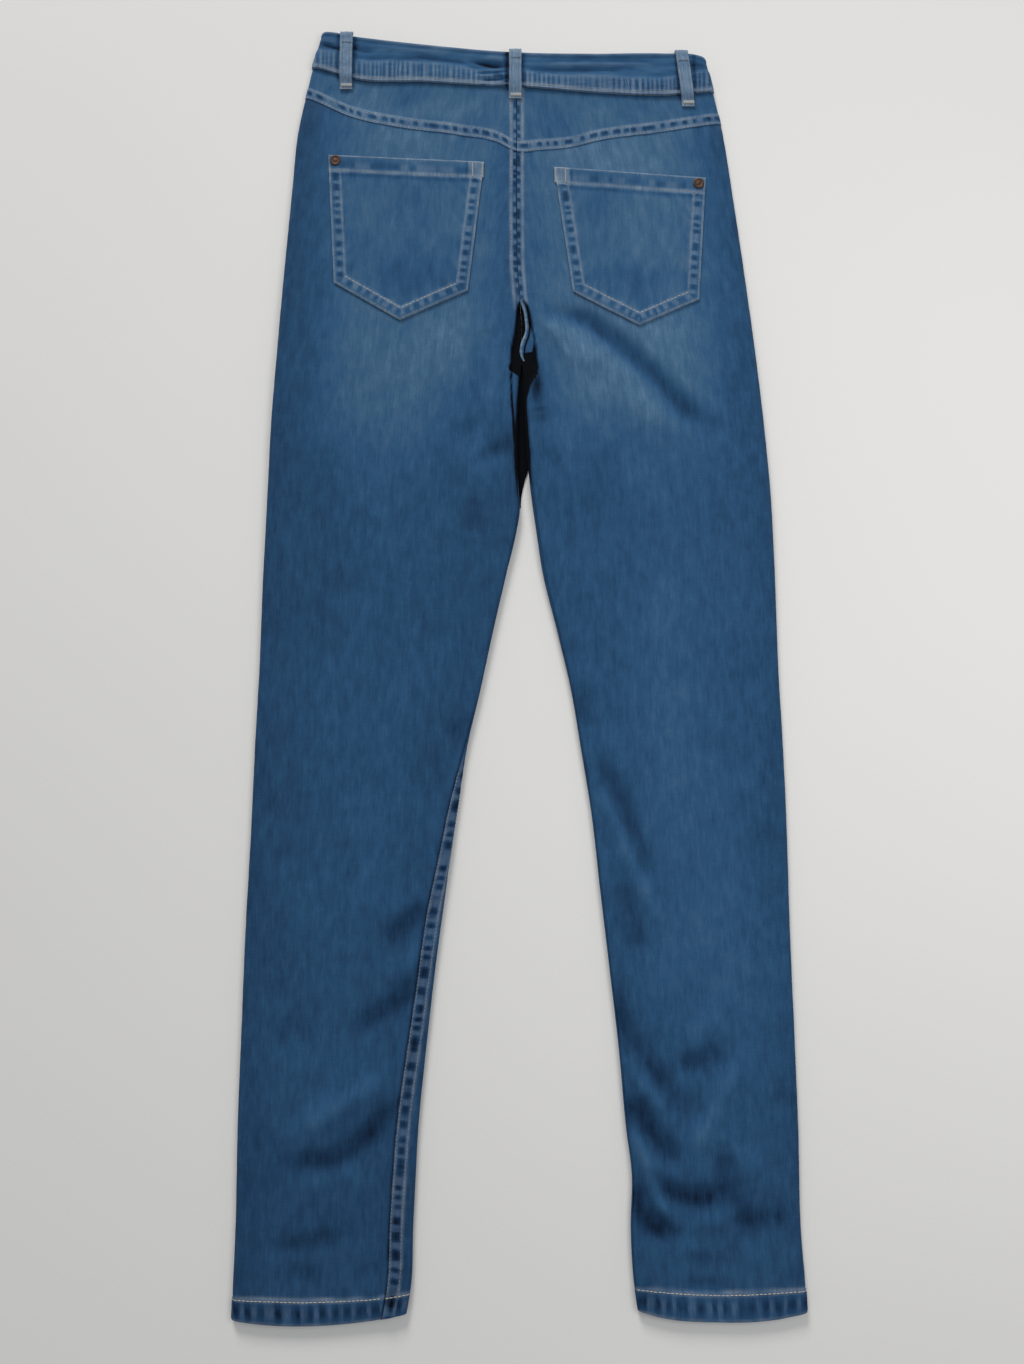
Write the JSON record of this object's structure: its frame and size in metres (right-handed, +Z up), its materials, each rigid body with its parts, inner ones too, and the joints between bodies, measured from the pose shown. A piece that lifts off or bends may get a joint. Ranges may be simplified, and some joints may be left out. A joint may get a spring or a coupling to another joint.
{
  "type": "skinny jeans",
  "caption": "High-waisted skinny denim jeans laid flat with the back up, with a yoke, hip pockets, belt loops, turned hems and a fastened waist.",
  "frame": {"origin": "centre of the bounding box's bottom, on the surface that the jeans lie on", "axes": "+Z up from the surface, towards the back of the jeans; +Y from the hems to the waist; +X towards the wearer's right leg"},
  "size_m": [0.4237, 1.0185, 0.011],
  "materials": {
    "seat_denim": "mid-blue washed stretch denim, faded, right-hand twill",
    "leg_denim": "mid-blue washed stretch denim, right-hand twill",
    "waistband_denim": "washed denim with worn rims",
    "loop_denim": "pale washed denim strip",
    "rivet_copper": "dull antique copper",
    "button_metal": "antique nickel, satin"
  },
  "bodies": {
    "root": {"back_leg_left": "leg_denim", "back_leg_right": "leg_denim", "front_leg_left": "leg_denim", "front_leg_right": "leg_denim", "yoke_left": "seat_denim", "yoke_right": "seat_denim", "pocket_left": "seat_denim", "pocket_right": "seat_denim", "fly": "leg_denim", "waistband": "waistband_denim", "loop_back_left": "loop_denim", "loop_back_center": "loop_denim", "loop_back_right": "loop_denim", "rivet_left": "rivet_copper", "rivet_right": "rivet_copper", "waist_button": "button_metal"}
  },
  "joints": []
}
